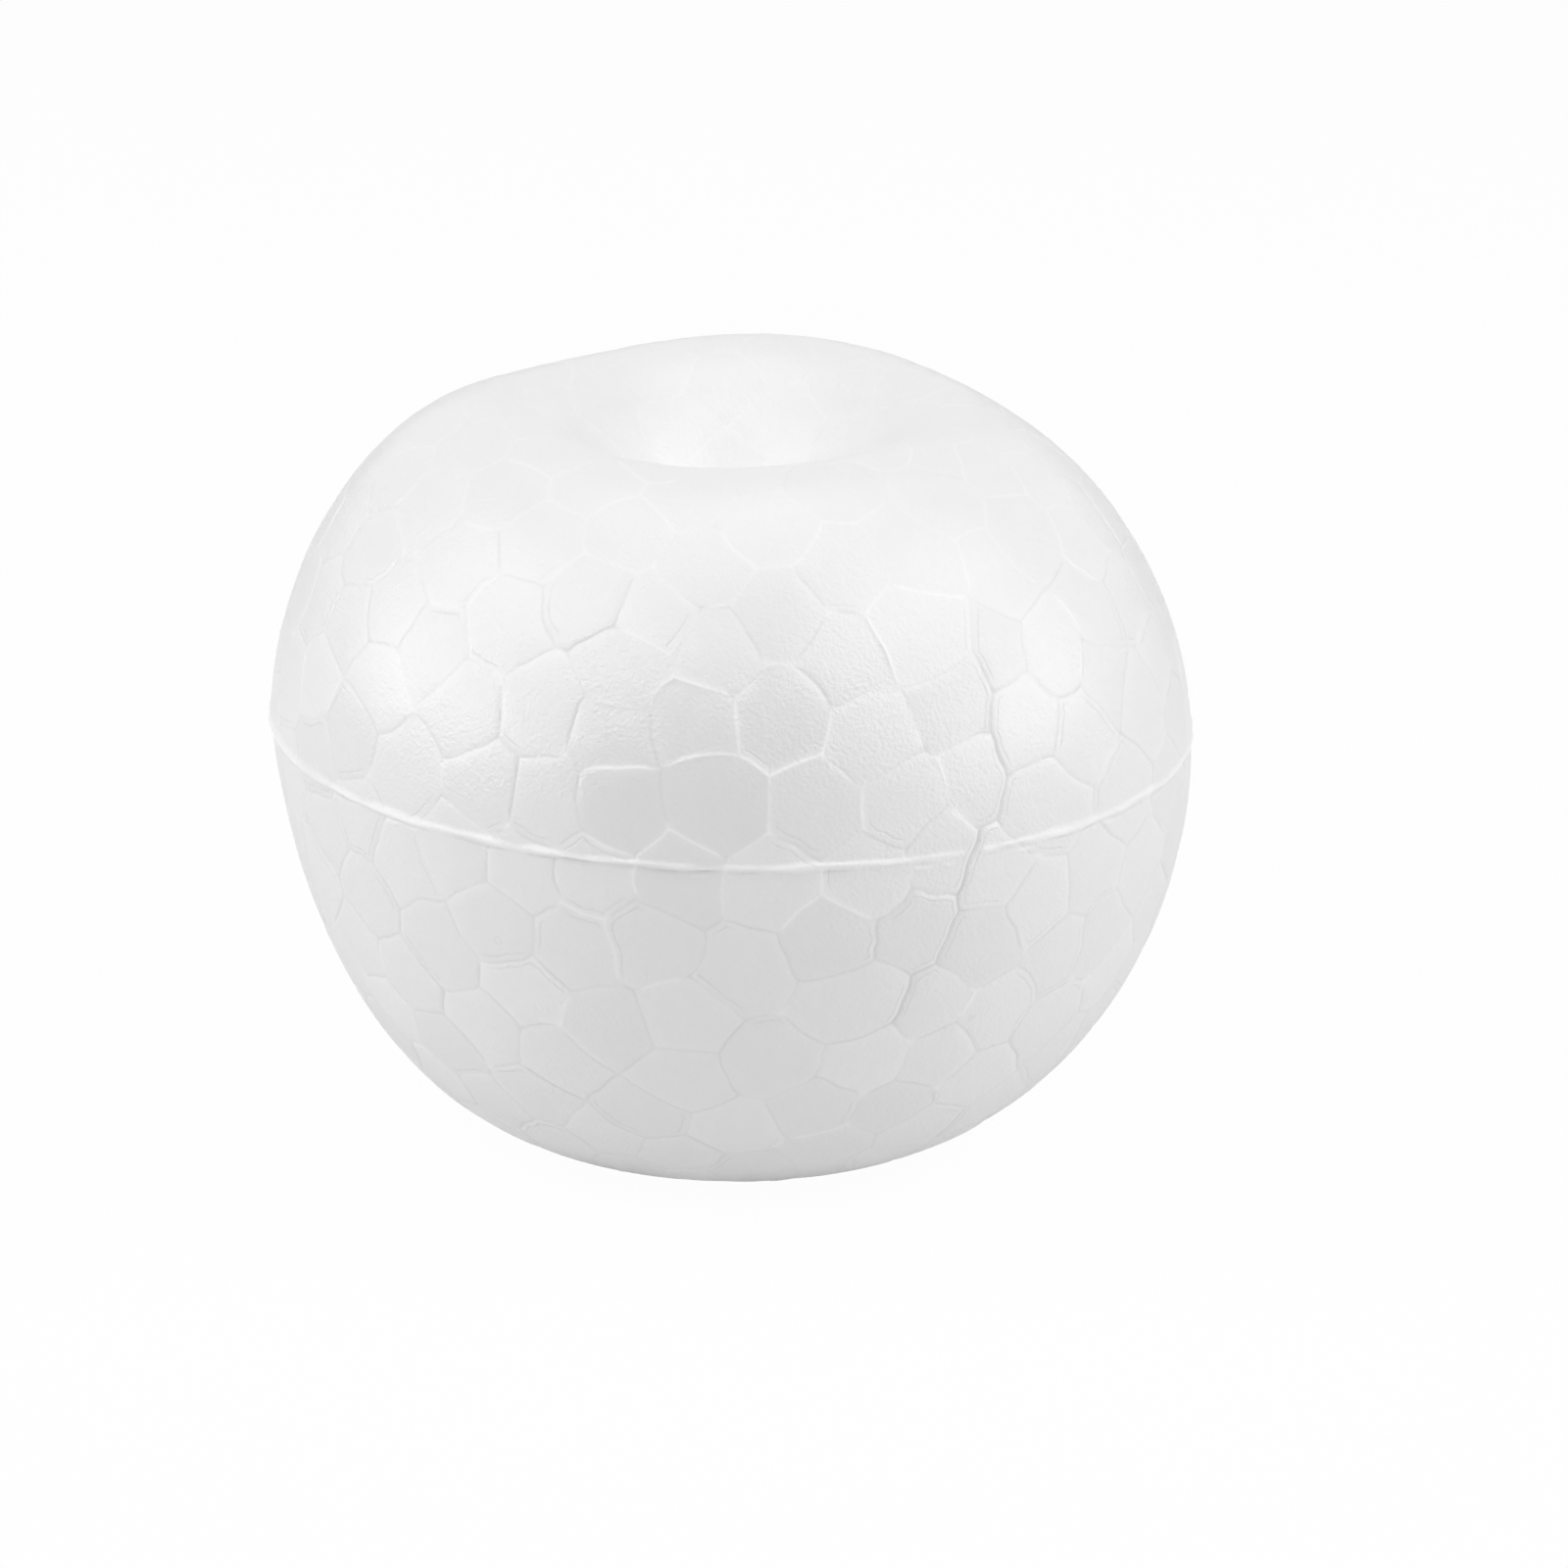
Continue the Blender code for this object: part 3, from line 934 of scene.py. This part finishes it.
def foam_material(look):
    """White foam: glossy bead faces with a fine cell grain, and duller lines between them."""
    material, maker = new_material("white_foam")
    place = maker.add("ShaderNodeTexCoord", output="Object")
    names = ("inset", "line", "double", "tone_and_dark_reflection", "flash")
    inset, line, double, tone_and_dark_reflection, flash = (maker.attribute(name) for name in names)
    patchy = maker.noise(place, PATCH_SIZE) - 0.5
    waver = maker.noise(place, WAVER_SIZE) - 0.5
    x, y, z = maker.axes(place)
    reach = (x * x + y * y) ** 0.5 + AXIS_CLEARANCE
    upper = z.above(HOLLOW_LOWEST)
    hollow = ((HOLLOW_REACH - reach) / HOLLOW_FADE).held() * upper
    # Painted light: this mask lightens the floor of the hollow, standing in for light bounced in there
    pit_painted_light = ((PIT_REACH - reach) / PIT_FADE).held() * upper
    top = hollow.at_least(((z - TOP_START) / TOP_FADE).held())
    # Painted light: the foot is lightened to offset the floor's contact shadow
    foot = ((FOOT_TOP - z) / FOOT_FADE).held()
    groove = (inset / GROOVE_LINE).fall() * line.at_least(0.0)
    ridge = (inset / RIDGE_LINE).fall() * (0.0 - line).at_least(0.0)
    from_second = inset + waver * SECOND_WAVER - SECOND_INSET
    second = (from_second / SECOND_LINE).fall() * double * (1.0 - top)
    raised = flash.at_least(0.0)
    # Painted shadow: the pinched line under the flash takes the border's darker colour
    pinched = (0.0 - flash).at_least(0.0)
    mark = groove * GROOVE_MARK + second * SECOND_MARK + pinched
    speck, ring = maker.specks(place)
    stain = mark * MARK_STAIN + speck * SPECK_STAIN + ring * RING_STAIN
    colour = maker.mix_colour(stain, opaque(look.foam), opaque(look.border))
    # Ridges take the flash's white: partly real flash between beads, and at the front partly a painted
    # highlight
    colour = maker.mix_colour(raised + ridge * RIDGE_WHITE_AND_HIGHLIGHT, colour, opaque(look.flash))
    # Painted sheen: a lighter band inside each bead's border stands in for reflection off its curved edge
    border_painted_sheen = (inset / PAINTED_SHEEN_LINE).fall()
    tone_and_painted_light = (border_painted_sheen * BORDER_PAINTED_SHEEN + tone_and_dark_reflection * TONE_AND_DARK_REFLECTION_SHADE) * (1.0 - top * TOP_SHADE_QUIET) + patchy * PATCH_SHADE
    # Painted shade: the hollow's walls are darkened here
    tone_and_painted_light = tone_and_painted_light + pit_painted_light * PIT_PAINTED_LIGHT - hollow * HOLLOW_PAINTED_SHADE + foot * FOOT_PAINTED_LIGHT
    colour = maker.mix_colour(1.0, colour, maker.grey(USUAL_SHADE + tone_and_painted_light), blend="MULTIPLY")
    grain = maker.noise(place, GRAIN_SIZE, detail=1.5)
    wrinkle = maker.noise(place, WRINKLE_SIZE, detail=3.0, distortion=1.5)
    height = grain * (GRAIN_HEIGHT + patchy * GRAIN_PATCHES) + wrinkle * WRINKLE_HEIGHT
    height = height - second * SECOND_DEPTH - speck * SPECK_DEPTH
    streaked = hollow * ((reach - STREAK_START) / STREAK_FADE).held()
    height = height + maker.streaks(x, y, reach) * streaked * STREAK_HEIGHT
    bump = maker.add("ShaderNodeBump", {}, {"Strength": 1.0, "Distance": MM, "Height": height})
    rough = USUAL_ROUGHNESS + (mark + ridge) * MARK_ROUGHNESS + patchy * PATCH_ROUGHNESS
    rough = rough + tone_and_dark_reflection * TONE_ROUGHNESS + raised * FLASH_ROUGHNESS
    surface = maker.add(
        "ShaderNodeBsdfPrincipled",
        {},
        {"Base Color": colour, "Roughness": rough, "Normal": bump, "IOR": FOAM_IOR},
    )
    maker.add("ShaderNodeOutputMaterial", {}, {"Surface": surface})
    return material


WHITE = (1.0, 1.0, 1.0, 1.0)

# The tent: its light from behind, and the darker front that reflections show
TENT_BACK_LIGHT = 0.48
DARK_SIDE = 0.95
DARK_SIDE_REACH = (math.sin(math.radians(48.0)), math.sin(math.radians(42.0)))
DARK_SIDE_RISE = 2.0


def tent_strength(maker):
    """Strength of the white tent round the apple, which lights it from behind alone.

    The camera sees it plain white, and so do reflections, apart from its open front.
    """
    direction = maker.add("ShaderNodeTexCoord", output="Generated")
    x, y, z = maker.axes(direction)
    across, upward = DARK_SIDE_REACH
    reach = x * x / across ** 2 + z * z / upward ** 2
    dark = reach.fall() * (0.0 - DARK_SIDE_RISE * y).held()
    lighting = TENT_BACK_LIGHT * y.held()
    mirrored = 1.0 - DARK_SIDE * dark
    seen, reflected = maker.ray_kinds()
    return seen + mirrored * reflected + lighting * (1.0 - seen - reflected)


# The floor: its side, its drop below the apple, and how white the camera and reflections see it
FLOOR_SIZE = 6.0
FLOOR_DROP = 0.2 * MM
FLOOR_GLOW = 0.97
FLOOR_GLOW_MIRRORED = 0.26


def floor_material(look):
    """Pale floor that shows as white and keeps the apple's soft shadow."""
    material, maker = new_material("white_floor")
    painted = maker.add("ShaderNodeBsdfDiffuse", {}, {"Color": opaque(look.floor)})
    glow = maker.add("ShaderNodeEmission", {}, {"Color": WHITE, "Strength": 1.0})
    seen, reflected = maker.ray_kinds()
    share = seen * FLOOR_GLOW + reflected * FLOOR_GLOW_MIRRORED
    surface = maker.add("ShaderNodeMixShader", {}, {0: share, 1: painted, 2: glow})
    maker.add("ShaderNodeOutputMaterial", {}, {"Surface": surface})
    return material


class FOAMAPPLE_OT_body(bpy.types.Operator):
    """Model the apple's skin of fused beads and give it its foam finish"""

    bl_idname = "foam_apple.body"
    bl_label = "Foam Apple"

    def execute(self, context):
        skin = context.scene.foam_apple_skin
        form = AppleForm(context.scene.foam_apple_form, skin.flash_height)
        beads = BeadSkin(form, skin)
        apple = beads.to_object("apple_skin")
        cut_beside_parting(apple, form.size.parting_height, FLASH_CUTS)
        draw_out_flash(apple, form, skin, flash_break(form, skin, beads.corners, beads.crease))
        bpy.ops.object.shade_smooth()
        apple.data.materials.append(foam_material(context.scene.foam_apple_look))
        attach(apple, "root")
        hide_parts(NODE)
        return {"FINISHED"}


class FOAMAPPLE_OT_stage(bpy.types.Operator):
    """Lay the pale floor and set the soft white surroundings"""

    bl_idname = "foam_apple.stage"
    bl_label = "Floor and World"

    def execute(self, context):
        bpy.ops.object.select_all(action="DESELECT")
        bpy.ops.mesh.primitive_plane_add(size=FLOOR_SIZE, location=(0.0, 0.0, -FLOOR_DROP))
        floor = context.active_object
        floor.name = "studio_floor"
        bpy.ops.object.transform_apply(location=True, rotation=True, scale=True)
        floor.data.materials.append(floor_material(context.scene.foam_apple_look))
        world = bpy.data.worlds.new("white_studio")
        world.use_nodes = True
        world.node_tree.nodes.clear()
        maker = NodeMaker(world.node_tree)
        strength = tent_strength(maker)
        sky = maker.add("ShaderNodeBackground", {}, {"Color": WHITE, "Strength": strength})
        maker.add("ShaderNodeOutputWorld", {}, {"Surface": sky})
        context.scene.world = world
        context.scene.view_settings.view_transform = "Standard"
        return {"FINISHED"}


# Azimuth and elevation in degrees as seen from the apple, distance and size in metres, power in watts
SOFTBOXES = {
    "panel_left": (208.0, 45.0, 0.60, (0.70, 0.30), 1.35),
    "panel_right": (-28.0, 45.0, 0.60, (0.70, 0.30), 1.50),
    "panel_above": (0.0, 89.0, 0.60, (0.50, 0.50), 0.97),
    "wall_left": (195.0, 15.0, 0.60, (0.60, 0.20), 1.13),
    "wall_right": (-15.0, 15.0, 0.60, (0.60, 0.20), 0.97),
}


class FOAMAPPLE_OT_lights(bpy.types.Operator):
    """Hang the softboxes round the apple"""

    bl_idname = "foam_apple.lights"
    bl_label = "Softboxes"

    def execute(self, context):
        target = Vector((0.0, 0.0, context.scene.foam_apple_form.parting_height))
        for name, (azimuth, elevation, distance, size, power) in SOFTBOXES.items():
            azimuth, elevation = math.radians(azimuth), math.radians(elevation)
            away = Vector(
                (
                    math.cos(elevation) * math.cos(azimuth),
                    math.cos(elevation) * math.sin(azimuth),
                    math.sin(elevation),
                )
            )
            bpy.ops.object.light_add(type="AREA", location=target + away * distance)
            lamp = context.active_object
            lamp.name = name
            lamp.rotation_euler = away.to_track_quat("Z", "Y").to_euler()
            lamp.data.shape = "RECTANGLE"
            lamp.data.size, lamp.data.size_y = size
            lamp.data.energy = power
        return {"FINISHED"}


# Where the middle of the parting plane shows in the 1600 pixel frame, and the pixels to a metre there
FRAME_PIXELS = 1600
TARGET_PIXEL = (746.6, 724.3)
PIXELS_PER_METRE = 12570.0
CAMERA_ELEVATION = math.radians(18.6)
CAMERA_ROLL = math.radians(1.36)
CAMERA_DISTANCE = 0.45
SENSOR_WIDTH = 36.0
CLIP_START = 0.01


class FOAMAPPLE_OT_camera(bpy.types.Operator):
    """Set the camera to the photograph's view"""

    bl_idname = "foam_apple.camera"
    bl_label = "Camera"

    def execute(self, context):
        target = Vector((0.0, 0.0, context.scene.foam_apple_form.parting_height))
        away = Vector((0.0, -math.cos(CAMERA_ELEVATION), math.sin(CAMERA_ELEVATION)))
        upright = away.to_track_quat("Z", "Y").to_matrix() @ Matrix.Rotation(CAMERA_ROLL, 3, "Z")
        right, up = upright.col[0], upright.col[1]
        aside = (FRAME_PIXELS / 2 - TARGET_PIXEL[0]) / PIXELS_PER_METRE
        below = (FRAME_PIXELS / 2 - TARGET_PIXEL[1]) / PIXELS_PER_METRE
        location = target + away * CAMERA_DISTANCE
        aim = target + right * aside - up * below
        back = (location - aim).normalized()
        side = up.cross(back).normalized()
        turned = Matrix((side, back.cross(side), back)).transposed()
        bpy.ops.object.camera_add(location=location, rotation=turned.to_euler())
        camera = context.active_object
        camera.name = "photo_camera"
        camera.data.sensor_width = SENSOR_WIDTH
        camera.data.lens = SENSOR_WIDTH * PIXELS_PER_METRE * CAMERA_DISTANCE / FRAME_PIXELS
        camera.data.clip_start = CLIP_START
        context.scene.camera = camera
        return {"FINISHED"}


class FOAMAPPLE_PT_panel(bpy.types.Panel):
    """Buttons that make the apple and its studio"""

    bl_label = "Foam Apple"
    bl_idname = "FOAMAPPLE_PT_panel"
    bl_space_type = "VIEW_3D"
    bl_region_type = "UI"
    bl_category = "Foam Apple"

    def draw(self, context):
        for operator in OPERATORS:
            self.layout.operator(operator.bl_idname)


GROUPS = {
    "foam_apple_form": FoamAppleForm,
    "foam_apple_skin": FoamAppleSkin,
    "foam_apple_look": FoamAppleLook,
}
OPERATORS = (FOAMAPPLE_OT_body, FOAMAPPLE_OT_stage, FOAMAPPLE_OT_lights, FOAMAPPLE_OT_camera)


def register():
    for group in (*GROUPS.values(), *OPERATORS, FOAMAPPLE_PT_panel):
        bpy.utils.register_class(group)
    for name, group in GROUPS.items():
        setattr(bpy.types.Scene, name, bpy.props.PointerProperty(type=group))


def unregister():
    for name in GROUPS:
        delattr(bpy.types.Scene, name)
    for group in (FOAMAPPLE_PT_panel, *OPERATORS, *GROUPS.values()):
        bpy.utils.unregister_class(group)


def main():
    register()
    bpy.ops.foam_apple.body()
    bpy.ops.foam_apple.stage()
    bpy.ops.foam_apple.lights()
    bpy.ops.foam_apple.camera()


if __name__ == "__main__":
    main()
